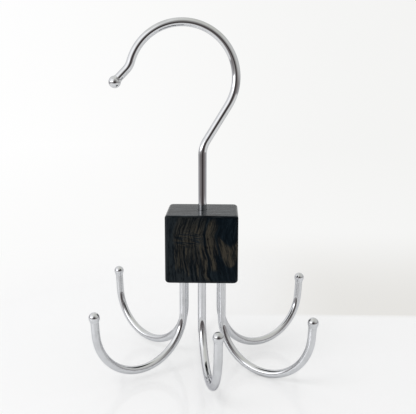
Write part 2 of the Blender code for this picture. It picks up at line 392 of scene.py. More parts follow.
def bump(sheet: NodeSheet, shader: bpy.types.Node, height: Socket, depth: float, strength: float = 1.0) -> None:
    """Give a shader a bumpy normal.

    Args:
        sheet: The material's sheet.
        shader: The Principled shader.
        height: The relief, 1 for a full step up.
        depth: That step in metres.
        strength: How much of the relief shows.
    """
    made = sheet.node("Bump")
    made.inputs["Strength"].default_value = strength
    made.inputs["Distance"].default_value = depth
    sheet.feed(made.inputs["Height"], height)
    sheet.feed(shader.inputs["Normal"], made.outputs["Normal"])


@dataclass(frozen=True)
class ChromeFinish:
    """Polished chrome plate on drawn wire, with faint smudges and hairlines."""

    colour: Colour = (0.66, 0.67, 0.685)
    haze_colour: Colour = (0.60, 0.61, 0.62)
    grazing_tint: Colour = (0.70, 0.70, 0.72)
    clean_roughness: float = 0.012
    smudged_roughness: float = 0.06
    ripple_depth: float = 0.0000012

    def material(self) -> bpy.types.Material:
        """Make the material.

        Returns:
            The chrome.
        """
        material, sheet, shader = new_material("chrome_plate")
        place = sheet.placed((MILLIMETRES,) * 3)
        marks = use_group(
            sheet, SHELF.handling_marks(), Place=place, Smudge_Scale=0.13, Scratch_Scale=2.2
        )
        smudge = marks.outputs["Smudge"]
        sheet.feed(shader.inputs["Base Color"], sheet.mix(smudge, self.colour, self.haze_colour))
        shader.inputs["Metallic"].default_value = 1.0
        shader.inputs["Specular Tint"].default_value = (*self.grazing_tint, 1.0)
        hazy = sheet.math("MULTIPLY", smudge, self.smudged_roughness - self.clean_roughness)
        lined = sheet.math("MULTIPLY", marks.outputs["Scratch"], self.smudged_roughness)
        sheet.feed(shader.inputs["Roughness"], sheet.sum(hazy, lined, self.clean_roughness))
        ripple = sheet.noise(place, 0.8, detail=2.0)
        bump(sheet, shader, ripple, self.ripple_depth)
        return material


@dataclass(frozen=True)
class Streak:
    """One brown streak: where it lies across the grain, how wide it is and how strong, in millimetres."""

    middle: float
    half_width: float
    share: float
    low: float = -20.0
    high: float = 20.0


@dataclass(frozen=True)
class WoodFinish:
    """Wood stained blue-black so that only its harder streaks stay brown, and lacquered.

    The figure is written in millimetres from the block's centre, as its front is seen.
    """

    ground: Colour = (0.0032, 0.0056, 0.0082)
    left_line: Colour = (0.0170, 0.0215, 0.0250)
    right_line: Colour = (0.0085, 0.0135, 0.0180)
    streak: Colour = (0.045, 0.040, 0.031)
    # painted highlight for the block's left and lower edges, where their rounding would catch the window
    edge_highlight: Colour = (0.036, 0.040, 0.044)
    # pale bluish streak of the top face: painted sheen laid along its sawn marks
    top_sheen_streak: Colour = (0.060, 0.069, 0.076)
    dust: Colour = (0.060, 0.056, 0.050)
    pore: Colour = (0.0012, 0.0016, 0.0022)
    bend_height: float = 8.0
    slants_below: tuple[float, float] = (0.08, 0.24)
    slants_above: tuple[float, float] = (0.27, 0.29)
    knot_centre: tuple[float, float] = (-6.8, 5.6)
    knot_reach: tuple[float, float] = (7.7, 4.3)
    point_centre: tuple[float, float] = (14.9, -9.3)
    point_spread: float = 1.58
    lacquer_ior: float = 1.075
    roughness: float = 0.07
    pore_depth: float = 0.00004
    streaks: tuple[Streak, ...] = (
        Streak(-14.6, 0.35, 0.7, -12.0, 2.0),
        Streak(-12.2, 1.5, 0.75, -11.0, 11.0),
        Streak(-10.2, 0.3, 0.5, -14.0, 16.0),
        Streak(-8.4, 0.45, 1.0, -15.0, 3.0),
        Streak(-7.2, 0.3, 0.6, -9.0, 16.0),
        Streak(-5.6, 0.5, 0.6, -7.0, 16.0),
        Streak(-3.7, 0.6, 0.75, -17.0, 15.0),
        Streak(-1.4, 0.6, 0.9, -17.5, 14.0),
        Streak(0.1, 0.65, 1.0, -17.5, 4.0),
        Streak(3.4, 1.2, 1.0, -12.0, 17.5),
        Streak(5.6, 1.1, 0.7, -4.0, 17.5),
    )

    def across_grain(self, sheet: NodeSheet, place: Socket, x: Socket, z: Socket) -> Socket:
        """The distance across the grain, which leans to the right above and below the bend.

        Args:
            sheet: The material's sheet.
            place: Millimetres from the block's centre.
            x: Millimetres to the right.
            z: Millimetres up.

        Returns:
            The bent distance's socket.
        """
        rise = sheet.math("SUBTRACT", z, self.bend_height)
        over = sheet.math("MAXIMUM", rise, 0.0)
        under = sheet.math("MAXIMUM", sheet.math("MULTIPLY", rise, -1.0), 0.0)
        left, right = self.slants_below
        lean = sheet.math("MULTIPLY", under, sheet.step(x, -6.0, 14.0, left, right))
        left, right = self.slants_above
        lean = sheet.sum(lean, sheet.math("MULTIPLY", over, sheet.step(x, -3.0, 6.0, left, right)))
        wander = sheet.math("SUBTRACT", sheet.noise(place, 0.12, detail=3.0), 0.5)
        return sheet.sum(sheet.math("SUBTRACT", x, lean), sheet.math("MULTIPLY", wander, 2.6))

    def oval(self, sheet: NodeSheet, x: Socket, z: Socket) -> Socket:
        """Where the knot is: 1 inside its oval and 0 outside.

        Args:
            sheet: The material's sheet.
            x: Millimetres to the right.
            z: Millimetres up.

        Returns:
            The mask's socket.
        """
        parts = []
        for value, centre, reach in zip((x, z), self.knot_centre, self.knot_reach):
            part = sheet.math("DIVIDE", sheet.math("SUBTRACT", value, centre), reach)
            parts.append(sheet.math("MULTIPLY", part, part))
        return sheet.step(sheet.sum(*parts), 1.3, 0.6)

    def pointed(self, sheet: NodeSheet, x: Socket, z: Socket) -> Socket:
        """The brown band of the pointed figure on the right.

        Args:
            sheet: The material's sheet.
            x: Millimetres to the right.
            z: Millimetres up.

        Returns:
            The mask's socket.
        """
        centre_x, tip_z = self.point_centre
        aside = sheet.math("ABSOLUTE", sheet.math("SUBTRACT", x, centre_x))
        above = sheet.math("MAXIMUM", sheet.math("SUBTRACT", z, tip_z), 0.0)
        arms = sheet.math("MULTIPLY", sheet.math("SQRT", above), self.point_spread)
        away = sheet.math("SUBTRACT", arms, aside)
        reach = sheet.step(z, tip_z + 8.5, 7.5, 6.6, 1.0)
        inside = sheet.step(sheet.math("DIVIDE", away, reach), 1.2, 0.5)
        band = sheet.math("MULTIPLY", sheet.step(away, -0.8, 0.4), inside)
        band = sheet.math("MULTIPLY", band, sheet.step(z, tip_z - 0.6, tip_z + 1.2))
        return sheet.math("MULTIPLY", band, sheet.step(z, 8.5, 5.0))

    def brown(self, sheet: NodeSheet, place: Socket, across: Socket, fine: Socket) -> Socket:
        """How much of the brown shows through the stain.

        Args:
            sheet: The material's sheet.
            place: Millimetres from the block's centre.
            across: Millimetres across the grain.
            fine: The fine streaks' noise.

        Returns:
            The share's socket.
        """
        x, y, z = sheet.split(place)
        depth = sheet.math("ADD", y, BLOCK_HALF.y * MILLIMETRES)
        width = BLOCK_HALF.x * MILLIMETRES
        run = sheet.sum(across, sheet.math("MULTIPLY", depth, 0.9), width)
        run = sheet.math("SUBTRACT", sheet.math("PINGPONG", run, 2 * width), width)
        between = sheet.math("MULTIPLY", sheet.step(run, -15.5, -13.5), sheet.step(run, 0.9, 0.4))
        tone = sheet.math("MULTIPLY", between, sheet.step(z, -13.0, 6.0, 0.05, 0.42))
        for streak in self.streaks:
            away = sheet.math("ABSOLUTE", sheet.math("SUBTRACT", run, streak.middle))
            mask = sheet.step(away, streak.half_width * 1.5, streak.half_width * 0.5, 0.0, streak.share)
            mask = sheet.math("MULTIPLY", mask, sheet.step(z, streak.low, streak.low + 3.0))
            mask = sheet.math("MULTIPLY", mask, sheet.step(z, streak.high, streak.high - 3.0))
            tone = sheet.math("MAXIMUM", tone, mask)
        tone = sheet.math("MULTIPLY", tone, sheet.step(z, 18.0, 12.5, 0.5, 1.0))
        level = sheet.sum(sheet.math("MULTIPLY", z, 0.95), sheet.math("MULTIPLY", x, 0.22))
        curls = sheet.noise(sheet.vector(level, y, sheet.math("MULTIPLY", x, 0.14)), 1.5, detail=2.0)
        curls = sheet.step(curls, 0.42, 0.60)
        front = sheet.step(depth, 6.0, 1.0)
        knot = sheet.math("MULTIPLY", self.oval(sheet, x, z), front)
        tone = sheet.sum(
            sheet.math("MULTIPLY", tone, sheet.math("SUBTRACT", 1.0, knot)),
            sheet.math("MULTIPLY", curls, sheet.math("MULTIPLY", knot, 0.75)),
        )
        tone = sheet.math("MULTIPLY", tone, sheet.step(fine, 0.41, 0.57, 0.06, 1.2))
        point = sheet.math("MULTIPLY", self.pointed(sheet, x, z), front)
        point = sheet.math("MULTIPLY", point, sheet.step(fine, 0.40, 0.55, 0.12, 1.2))
        return sheet.math("MAXIMUM", tone, point, clamp=True)

    def material(self) -> bpy.types.Material:
        """Make the material.

        Returns:
            The stained and lacquered wood.
        """
        material, sheet, shader = new_material("stained_wood")
        low, high = BLOCK_BOX
        half = BLOCK_HALF * MILLIMETRES
        place = sheet.placed((MILLIMETRES,) * 3, (low + high) / 2)
        x, y, z = sheet.split(place)
        across = self.across_grain(sheet, place, x, z)
        grain = sheet.vector(across, y, sheet.math("MULTIPLY", z, 0.08))
        fine = sheet.noise(grain, 1.15, detail=4.0, roughness=0.72)
        lifted = sheet.math(
            "MAXIMUM", sheet.step(x, -10.0, -17.0, 0.0, 0.08), sheet.step(z, -9.0, -15.0, 0.0, 0.06)
        )
        lines = sheet.step(sheet.sum(fine, lifted), 0.45, 0.63)
        line = sheet.mix(sheet.step(x, -8.0, 14.0), self.left_line, self.right_line)
        ground = sheet.mix(lines, self.ground, line)
        colour = sheet.mix(self.brown(sheet, place, across, fine), ground, self.streak)
        pores = sheet.step(sheet.noise(grain, 3.6, detail=1.0), 0.62, 0.70)
        colour = sheet.mix(pores, colour, self.pore)
        sawn = sheet.vector(sheet.math("MULTIPLY", x, 0.13), y, 0.0)
        sawn = sheet.noise(sawn, 0.36, detail=4.0, roughness=0.66)
        # The top face takes pale bluish streaks along its sawn marks. The marks follow the real saw texture,
        # and their paleness is a painted sheen that stands for the reflection of the bright wall behind.
        on_top = sheet.step(z, half.z - 1.0, half.z - 0.2)
        sawn_top_sheen = sheet.mix(sheet.step(sawn, 0.36, 0.70), self.ground, self.top_sheen_streak)
        colour = sheet.mix(on_top, colour, sawn_top_sheen)
        edges = use_group(
            sheet, SHELF.box_edges(), Place=place, Half_Size=tuple(half), Reach=1.5, Unevenness=0.4
        )
        edge = edges.outputs["Edge"]
        # The colour goes near black close to every edge. Just inside the left and lower edges a thin painted
        # highlight follows, standing for the window light caught on their rounding.
        colour = sheet.mix(sheet.math("MULTIPLY", edge, 0.7), colour, self.pore)
        line = sheet.math("MULTIPLY", sheet.step(edge, 0.02, 0.20), sheet.step(edge, 0.55, 0.25))
        lit = sheet.math("MAXIMUM", sheet.step(x, -15.5, -17.0), sheet.step(z, -14.5, -16.0))
        line = sheet.math("MULTIPLY", line, sheet.math("MULTIPLY", lit, 0.6))
        colour = sheet.mix(line, colour, self.edge_highlight)
        marks = use_group(
            sheet, SHELF.handling_marks(), Place=place, Smudge_Scale=0.09, Scratch_Scale=1.6
        )
        colour = sheet.mix(sheet.math("MULTIPLY", marks.outputs["Speck"], 0.3), colour, self.dust)
        sheet.feed(shader.inputs["Base Color"], colour)
        cloudy = sheet.math("MULTIPLY", marks.outputs["Smudge"], 0.05)
        dull = sheet.math("MULTIPLY", pores, 0.15)
        uneven = sheet.math("MULTIPLY", sawn, 0.06)
        sheet.feed(shader.inputs["Roughness"], sheet.sum(self.roughness, cloudy, dull, uneven))
        shader.inputs["IOR"].default_value = self.lacquer_ior
        relief = sheet.sum(sheet.math("MULTIPLY", pores, -0.4), sheet.math("MULTIPLY", sawn, on_top))
        bump(sheet, shader, relief, self.pore_depth)
        return material


@dataclass(frozen=True)
class ZincFinish:
    """Bright zinc plate on steel, slightly mottled."""

    colour: Colour = (0.62, 0.62, 0.60)
    shadow: Colour = (0.44, 0.45, 0.46)
    roughness: float = 0.26

    def material(self) -> bpy.types.Material:
        """Make the material.

        Returns:
            The plated steel.
        """
        material, sheet, shader = new_material("zinc_plate")
        place = sheet.placed((MILLIMETRES,) * 3)
        mottle = sheet.noise(place, 0.9, detail=5.0, roughness=0.65)
        sheet.feed(
            shader.inputs["Base Color"], sheet.mix(sheet.step(mottle, 0.35, 0.7), self.colour, self.shadow)
        )
        marks = use_group(
            sheet, SHELF.handling_marks(), Place=place, Smudge_Scale=0.3, Scratch_Scale=3.0
        )
        shader.inputs["Metallic"].default_value = 1.0
        rough = sheet.sum(
            self.roughness,
            sheet.math("MULTIPLY", mottle, 0.16),
            sheet.math("MULTIPLY", marks.outputs["Scratch"], 0.2),
        )
        sheet.feed(shader.inputs["Roughness"], rough)
        bump(sheet, shader, mottle, 0.00001)
        return material


@dataclass(frozen=True)
class NylonFinish:
    """Moulded natural nylon."""

    colour: Colour = (0.80, 0.79, 0.74)
    shade: Colour = (0.66, 0.65, 0.60)
    roughness: float = 0.42

    def material(self) -> bpy.types.Material:
        """Make the material.

        Returns:
            The nylon.
        """
        material, sheet, shader = new_material("natural_nylon")
        place = sheet.placed((MILLIMETRES,) * 3)
        flow = sheet.noise(place, 0.5, detail=3.0)
        sheet.feed(shader.inputs["Base Color"], sheet.mix(flow, self.colour, self.shade))
        grain = sheet.noise(place, 9.0, detail=2.0)
        sheet.feed(
            shader.inputs["Roughness"], sheet.sum(self.roughness, sheet.math("MULTIPLY", grain, 0.12))
        )
        shader.inputs["Subsurface Weight"].default_value = 0.15
        shader.inputs["Subsurface Scale"].default_value = 0.001
        bump(sheet, shader, grain, 0.00001)
        return material


class Bench:
    """Ways to shape a mesh with Blender's own operators, and to dress it as a piece."""

    def __init__(self) -> None:
        """Make every finish once."""
        self.finishes = {
            Slot.CHROME: ChromeFinish().material(),
            Slot.WOOD: WoodFinish().material(),
            Slot.ZINC: ZincFinish().material(),
            Slot.NYLON: NylonFinish().material(),
        }

    @staticmethod
    def clear_selection() -> None:
        """Leave edit mode and deselect everything, so that an operator acts on the new piece alone."""
        if bpy.context.object is not None and bpy.context.object.mode != "OBJECT":
            bpy.ops.object.mode_set(mode="OBJECT")
        bpy.ops.object.select_all(action="DESELECT")

    @staticmethod
    def settle(piece: bpy.types.Object) -> None:
        """Put a piece's place, turn and scale into its mesh.

        Args:
            piece: The piece, which is left active and alone in the selection.
        """
        Bench.clear_selection()
        piece.select_set(True)
        bpy.context.view_layer.objects.active = piece
        bpy.ops.object.transform_apply(location=True, rotation=True, scale=True)

    @staticmethod
    def close_up(piece: bpy.types.Object) -> None:
        """Weld a piece's doubles, fill its open ends and point its faces outwards.

        Args:
            piece: The active piece, in object mode.
        """
        bpy.ops.object.mode_set(mode="EDIT")
        bpy.ops.mesh.select_all(action="SELECT")
        bpy.ops.mesh.remove_doubles(threshold=WELD_DISTANCE)
        bpy.ops.mesh.fill_holes(sides=0)
        bpy.ops.mesh.select_all(action="SELECT")
        bpy.ops.mesh.normals_make_consistent(inside=False)
        bpy.ops.object.mode_set(mode="OBJECT")
        log.debug("closed %s", piece.name)

    @staticmethod
    def smooth(piece: bpy.types.Object, angle: float = SMOOTH_ANGLE) -> None:
        """Shade a piece smooth where its faces meet at less than an angle.

        Args:
            piece: The piece.
            angle: The angle past which an edge stays sharp.
        """
        Bench.clear_selection()
        piece.select_set(True)
        bpy.context.view_layer.objects.active = piece
        bpy.ops.object.shade_smooth_by_angle(angle=angle)

    @staticmethod
    def carve(piece: bpy.types.Object, tool: bpy.types.Object, operation: str = "DIFFERENCE") -> None:
        """Cut a piece with a tool, then put the tool away.

        Args:
            piece: The piece that is cut.
            tool: A closed mesh.
            operation: The Boolean's operation.
        """
        Bench.clear_selection()
        piece.select_set(True)
        bpy.context.view_layer.objects.active = piece
        boolean = piece.modifiers.new("carve", "BOOLEAN")
        boolean.operation = operation
        boolean.solver = "EXACT"
        boolean.object = tool
        bpy.ops.object.modifier_apply(modifier=boolean.name)
        bpy.data.objects.remove(tool, do_unlink=True)

    @staticmethod
    def ease_edges(piece: bpy.types.Object, width: float, segments: int = 2, angle: float = 0.6) -> None:
        """Round a piece's sharp edges.

        Args:
            piece: The piece.
            width: The rounding's width.
            segments: Its steps.
            angle: The angle past which an edge counts as sharp.
        """
        Bench.clear_selection()
        piece.select_set(True)
        bpy.context.view_layer.objects.active = piece
        bevel = piece.modifiers.new("eased", "BEVEL")
        bevel.width = width
        bevel.segments = segments
        bevel.limit_method = "ANGLE"
        bevel.angle_limit = angle
        bevel.use_clamp_overlap = True
        bpy.ops.object.modifier_apply(modifier=bevel.name)

    @staticmethod
    def keep_flats(piece: bpy.types.Object) -> None:
        """Let a smoothed piece's large faces set the normals at their borders, so that they look flat.

        Args:
            piece: The piece, already smoothed.
        """
        Bench.clear_selection()
        piece.select_set(True)
        bpy.context.view_layer.objects.active = piece
        weighted = piece.modifiers.new("flats", "WEIGHTED_NORMAL")
        weighted.weight = 100
        weighted.keep_sharp = True
        bpy.ops.object.modifier_apply(modifier=weighted.name)

    def dress(self, piece: bpy.types.Object, slot: Slot, body: Body, node: str) -> None:
        """Give a piece its finish and say which body it rides on and which node it stands for.

        Args:
            piece: The finished mesh.
            slot: The record's slot that its finish is from.
            body: The body that it moves with.
            node: The CAD node that it replaces.
        """
        piece.data.materials.clear()
        piece.data.materials.append(self.finishes[slot])
        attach(piece, body.value)
        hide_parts(node)
        log.info("%s stands for %s on %s, %d faces", piece.name, node, body.value, len(piece.data.polygons))


class WireForm:
    """A round wire, made from one ring of points that is pulled straight and spun round its bends."""

    BEND_STEP = radians(2.5)

    def __init__(self, name: str, radius: float, place: Vector, aim: Vector, heading: float, ring: int = 40):
        """Start the wire at its first end.

        Args:
            name: The piece's name.
            radius: The wire's radius at this end.
            place: The centre of the first ring.
            aim: The level direction that the wire's plane runs along.
            heading: The wire's direction in its plane, as an angle above the aim.
            ring: How many points the ring has.
        """
        self.aim = aim
        self.heading = heading
        self.place = place.copy()
        Bench.clear_selection()
        bpy.ops.mesh.primitive_circle_add(
            vertices=ring,
            radius=radius,
            fill_type="NOTHING",
            location=place,
            rotation=self.direction().to_track_quat("Z", "X").to_euler(),
        )
        self.piece = bpy.context.object
        self.piece.name = name
        Bench.settle(self.piece)
        bpy.ops.object.mode_set(mode="EDIT")
        bpy.ops.mesh.select_all(action="SELECT")

    def direction(self) -> Vector:
        """The way that the wire runs now, as a unit vector."""
        return self.aim * cos(self.heading) + UP * sin(self.heading)

    def straight(self, length: float) -> None:
        """Pull the wire straight on.

        Args:
            length: How far.
        """
        move = self.direction() * length
        bpy.ops.mesh.extrude_region_move(TRANSFORM_OT_translate={"value": move})
        self.place += move

    def bend(self, radius: float, sweep: float) -> None:
        """Spin the wire round a bend in its plane.

        Args:
            radius: The radius of the bend's centre line.
            sweep: The angle turned, positive to the left of the heading.
        """
        side = 1.0 if sweep > 0 else -1.0
        left = self.aim * -sin(self.heading) + UP * cos(self.heading)
        centre = self.place + left * side * radius
        steps = max(2, round(abs(sweep) / self.BEND_STEP))
        bpy.ops.mesh.spin(
            steps=steps, angle=abs(sweep), center=centre, axis=UP.cross(self.aim) * side
        )
        self.heading += sweep
        left = self.aim * -sin(self.heading) + UP * cos(self.heading)
        self.place = centre - left * side * radius

    def resize(self, share: float, length: float = 0.0) -> None:
        """Draw the wire down or up to another size.

        Args:
            share: The new radius as a share of the one before.
            length: How long the taper is.
        """
        self.straight(length)
        bpy.ops.transform.resize(value=(share,) * 3, center_override=self.place)

    def finish(self) -> bpy.types.Object:
        """Close both ends.

        Returns:
            The wire's mesh object.
        """
        bpy.ops.object.mode_set(mode="OBJECT")
        Bench.close_up(self.piece)
        Bench.smooth(self.piece)
        return self.piece


def turned(name: str, profile: Sequence[tuple[float, float]], ring: int = 48) -> bpy.types.Object:
    """A turned piece on the Z axis, made from a ring that is extruded and resized along its profile.

    Args:
        name: The piece's name.
        profile: Radius and height of each ring. The last joins the first, unless both are capped.
        ring: How many points each ring has.

    Returns:
        The closed mesh object. Where the profile doubles back to the first radius it is a tube, and
        otherwise its two open ends are filled.
    """
    Bench.clear_selection()
    radius, height = profile[0]
    bpy.ops.mesh.primitive_circle_add(
        vertices=ring, radius=radius, fill_type="NOTHING", location=(0.0, 0.0, height)
    )
    piece = bpy.context.object
    piece.name = name
    Bench.settle(piece)
    bpy.ops.object.mode_set(mode="EDIT")
    bpy.ops.mesh.select_all(action="SELECT")
    for next_radius, next_height in profile[1:]:
        bpy.ops.mesh.extrude_region_move(
            TRANSFORM_OT_translate={"value": (0.0, 0.0, next_height - height)}
        )
        share = next_radius / radius
        bpy.ops.transform.resize(value=(share, share, 1.0), center_override=(0.0, 0.0, next_height))
        radius, height = next_radius, next_height
    bpy.ops.object.mode_set(mode="OBJECT")
    Bench.close_up(piece)
    return piece


@dataclass
class BallTip:
    """A plated ball with a short flared collar, pushed onto a wire's end."""

    ball_diameter: float
    wire_diameter: float
    flare_share: float = 1.14
    collar_length: float = 0.0010
    collar_step: float = 0.00006
    crease_width: float = 0.00012
    segments: int = 56
    rings: int = 36

    def build(self, name: str, place: Vector, direction: Vector) -> bpy.types.Object:
        """Shape the ball and seat it on its wire.

        Args:
            name: The piece's name.
            place: The ball's centre.
            direction: The way that the wire points there.

        Returns:
            The ball's mesh object.
        """
        ball = self.ball_diameter / 2
        flare = self.wire_diameter / 2 * self.flare_share
        mouth = self.wire_diameter / 2 + self.collar_step
        cut = sqrt(ball**2 - flare**2)
        Bench.clear_selection()
        bpy.ops.mesh.primitive_uv_sphere_add(segments=self.segments, ring_count=self.rings, radius=ball)
        piece = bpy.context.object
        piece.name = name
        bpy.ops.object.mode_set(mode="EDIT")
        bpy.ops.mesh.select_all(action="SELECT")
        bpy.ops.mesh.bisect(
            plane_co=(0.0, 0.0, -cut), plane_no=(0.0, 0.0, 1.0), use_fill=False, clear_inner=True
        )
        bpy.ops.mesh.extrude_region_move(TRANSFORM_OT_translate={"value": (0.0, 0.0, -self.collar_length)})
        low = (0.0, 0.0, -cut - self.collar_length)
        share = mouth / flare
        bpy.ops.transform.resize(value=(share, share, 1.0), center_override=low)
        bpy.ops.object.mode_set(mode="OBJECT")
        Bench.close_up(piece)
        Bench.ease_edges(piece, self.crease_width, segments=3, angle=0.3)
        piece.matrix_world = Matrix.Translation(place) @ direction.to_track_quat("Z", "X").to_matrix().to_4x4()
        Bench.settle(piece)
        Bench.smooth(piece)
        return piece

    def reach(self) -> float:
        """How far the collar's mouth lies behind the ball's centre."""
        flare = self.wire_diameter / 2 * self.flare_share
        return sqrt((self.ball_diameter / 2) ** 2 - flare**2) + self.collar_length


@dataclass
class TopHook:
    """The crook for the closet rod, with its threaded end and its ball."""

    wire_diameter: float = 0.0045
    thread_diameter: float = 0.0040
    thread_pitch: float = 0.0007
    thread_depth: float = 0.00032
    stem_length: float = 0.0293
    neck_lean: float = radians(31.6)
    neck_bend_radius: float = 0.015
    neck_length: float = 0.0213
    crown_radius: float = 0.028
    crown_sweep: float = radians(195.0)
    flick_radius: float = 0.010
    flick_sweep: float = radians(27.5)
    tip_length: float = 0.0088
    ball_diameter: float = 0.0065
    seat_depth: float = 0.0006

    def build(self, bench: Bench) -> None:
        """Bend the wire, cut its thread and seat its ball.

        Args:
            bench: The bench that dresses the pieces.
        """
        radius = self.wire_diameter / 2
        end_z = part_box("top_hook")[0].z
        shoulder_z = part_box("swivel_bush")[1].z
        block_top = BLOCK_BOX[1].z
        core_share = 1.0 - self.thread_depth / (self.thread_diameter / 2)
        thread_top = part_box("thrust_washer")[0].z
        wire = WireForm(
            "top_hook_wire",
            self.thread_diameter / 2 * core_share,
            Vector((0.0, 0.0, end_z)),
            Vector((1.0, 0.0, 0.0)),
            pi / 2,
        )
        wire.straight(thread_top - end_z)
        wire.resize(1.0 / core_share, self.thread_depth)
        wire.straight(shoulder_z - wire.place.z)
        wire.resize(self.wire_diameter / self.thread_diameter, self.thread_depth)
        wire.straight(block_top + self.stem_length - wire.place.z)
        wire.bend(self.neck_bend_radius, -self.neck_lean)
        wire.straight(self.neck_length)
        wire.bend(self.crown_radius, self.crown_sweep)
        wire.bend(self.flick_radius, -self.flick_sweep)
        tip = BallTip(self.ball_diameter, self.wire_diameter)
        centre = wire.place + wire.direction() * self.tip_length
        wire.straight(self.tip_length - tip.reach() + self.seat_depth)
        direction = wire.direction()
        hook = wire.finish()
        self.cut_thread(hook, end_z, thread_top)
        Bench.smooth(hook)
        bench.dress(hook, Slot.CHROME, Body.HANGER, "top_hook")
        ball = tip.build("top_hook_ball", centre, direction)
        bench.dress(ball, Slot.CHROME, Body.HANGER, "top_ball")
        log.info("wire radius %.2f mm", radius * MILLIMETRES)

    def cut_thread(self, hook: bpy.types.Object, low: float, high: float) -> None:
        """Wind a thread's ridge round the core and join it to the wire.

        Args:
            hook: The wire.
            low: Where the thread begins.
            high: Where it runs out.
        """
        crest = self.thread_diameter / 2
        root = crest - self.thread_depth * 1.3
        half = self.thread_pitch / 2
        Bench.clear_selection()
        bpy.ops.mesh.primitive_plane_add(size=self.thread_pitch)
        ridge = bpy.context.object
        ridge.name = "thread_ridge"
        corners = ((root, -half * 0.98), (crest, -half * 0.15), (crest, half * 0.15), (root, half * 0.98))
        for vertex, (radius, rise) in zip((ridge.data.vertices[i] for i in (0, 1, 3, 2)), corners):
            vertex.co = (radius, 0.0, low + half + rise)
        turns = int((high - low) / self.thread_pitch) - 1
        screw = ridge.modifiers.new("wind", "SCREW")
        screw.screw_offset = self.thread_pitch
        screw.iterations = turns
        screw.steps = 40
        screw.render_steps = 40
        screw.use_merge_vertices = False
        bpy.ops.object.modifier_apply(modifier=screw.name)
        Bench.close_up(ridge)
        Bench.clear_selection()
        ridge.select_set(True)
        hook.select_set(True)
        bpy.context.view_layer.objects.active = hook
        bpy.ops.object.join()


@dataclass(frozen=True)
class HookSetting:
    """How one lower hook sits: where its hole was drilled, and how it was turned, hung and trimmed."""

    name: str
    hole_turn: float = 0.0
    tip_turn: float = 0.0
    drop_share: float = 0.0
    tip_share: float = 1.0


@dataclass
class LowerHooks:
    """The six J hooks under the block, each set into its hole by hand and so turned a little its own way."""

    wire_diameter: float = 0.0042
    depth: float = 0.0454
    bend_radius: float = 0.0267
    bend_sweep: float = radians(176.0)
    tip_length: float = 0.0089
    ball_diameter: float = 0.0056
    hole_depth: float = 0.016
    buried_share: float = 0.9
    ring_radius: float = 0.012
    ring_turn: float = radians(3.2)
    seat_depth: float = 0.0006
    settings: tuple[HookSetting, ...] = (
        HookSetting("front", radians(-2.4), radians(6.7), -0.006),
        HookSetting("front_right", radians(0.0), radians(-4.6), 0.063, 0.915),
        HookSetting("back_right", radians(1.7), radians(-3.1), 0.007, 1.095),
        HookSetting("back", radians(1.0), radians(-1.4)),
        HookSetting("back_left", radians(-6.8), radians(-12.3), 0.004, 1.234),
        HookSetting("front_left", radians(0.0), radians(5.0), -0.006),
    )

    def even_angles(self) -> list[tuple[HookSetting, float]]:
        """Each hook's setting, with the angle of its even place on the ring."""
        step = 2 * pi / len(self.settings)
        start = -pi / 2 + self.ring_turn
        return [(setting, start + step * number) for number, setting in enumerate(self.settings)]

    def hole_centres(self) -> list[Vector]:
        """The middle of each hole, level with the block's underside."""
        centres = []
        for setting, even in self.even_angles():
            angle = even + setting.hole_turn
            centres.append(Vector((cos(angle), sin(angle), 0.0)) * self.ring_radius + UP * BLOCK_BOX[0].z)
        return centres

    def build(self, bench: Bench) -> None:
        """Bend each hook and seat its ball.

        Args:
            bench: The bench that dresses the pieces.
        """
        tip = BallTip(self.ball_diameter, self.wire_diameter)
        buried = self.hole_depth * self.buried_share
        for (setting, even), hole in zip(self.even_angles(), self.hole_centres()):
            aim = Vector((cos(even + setting.tip_turn), sin(even + setting.tip_turn), 0.0))
            name = "hook_" + setting.name
            wire = WireForm(name + "_wire", self.wire_diameter / 2, hole + UP * buried, aim, -pi / 2)
            wire.straight(buried + self.depth * (1.0 + setting.drop_share) - self.bend_radius)
            wire.bend(self.bend_radius, self.bend_sweep)
            tip_length = self.tip_length * setting.tip_share
            direction = wire.direction()
            centre = wire.place + direction * tip_length
            wire.straight(tip_length - tip.reach() + self.seat_depth)
            bench.dress(wire.finish(), Slot.CHROME, Body.CARRIER, name)
            ball = tip.build(name + "_ball", centre, direction)
            bench.dress(ball, Slot.CHROME, Body.CARRIER, "ball_" + setting.name)


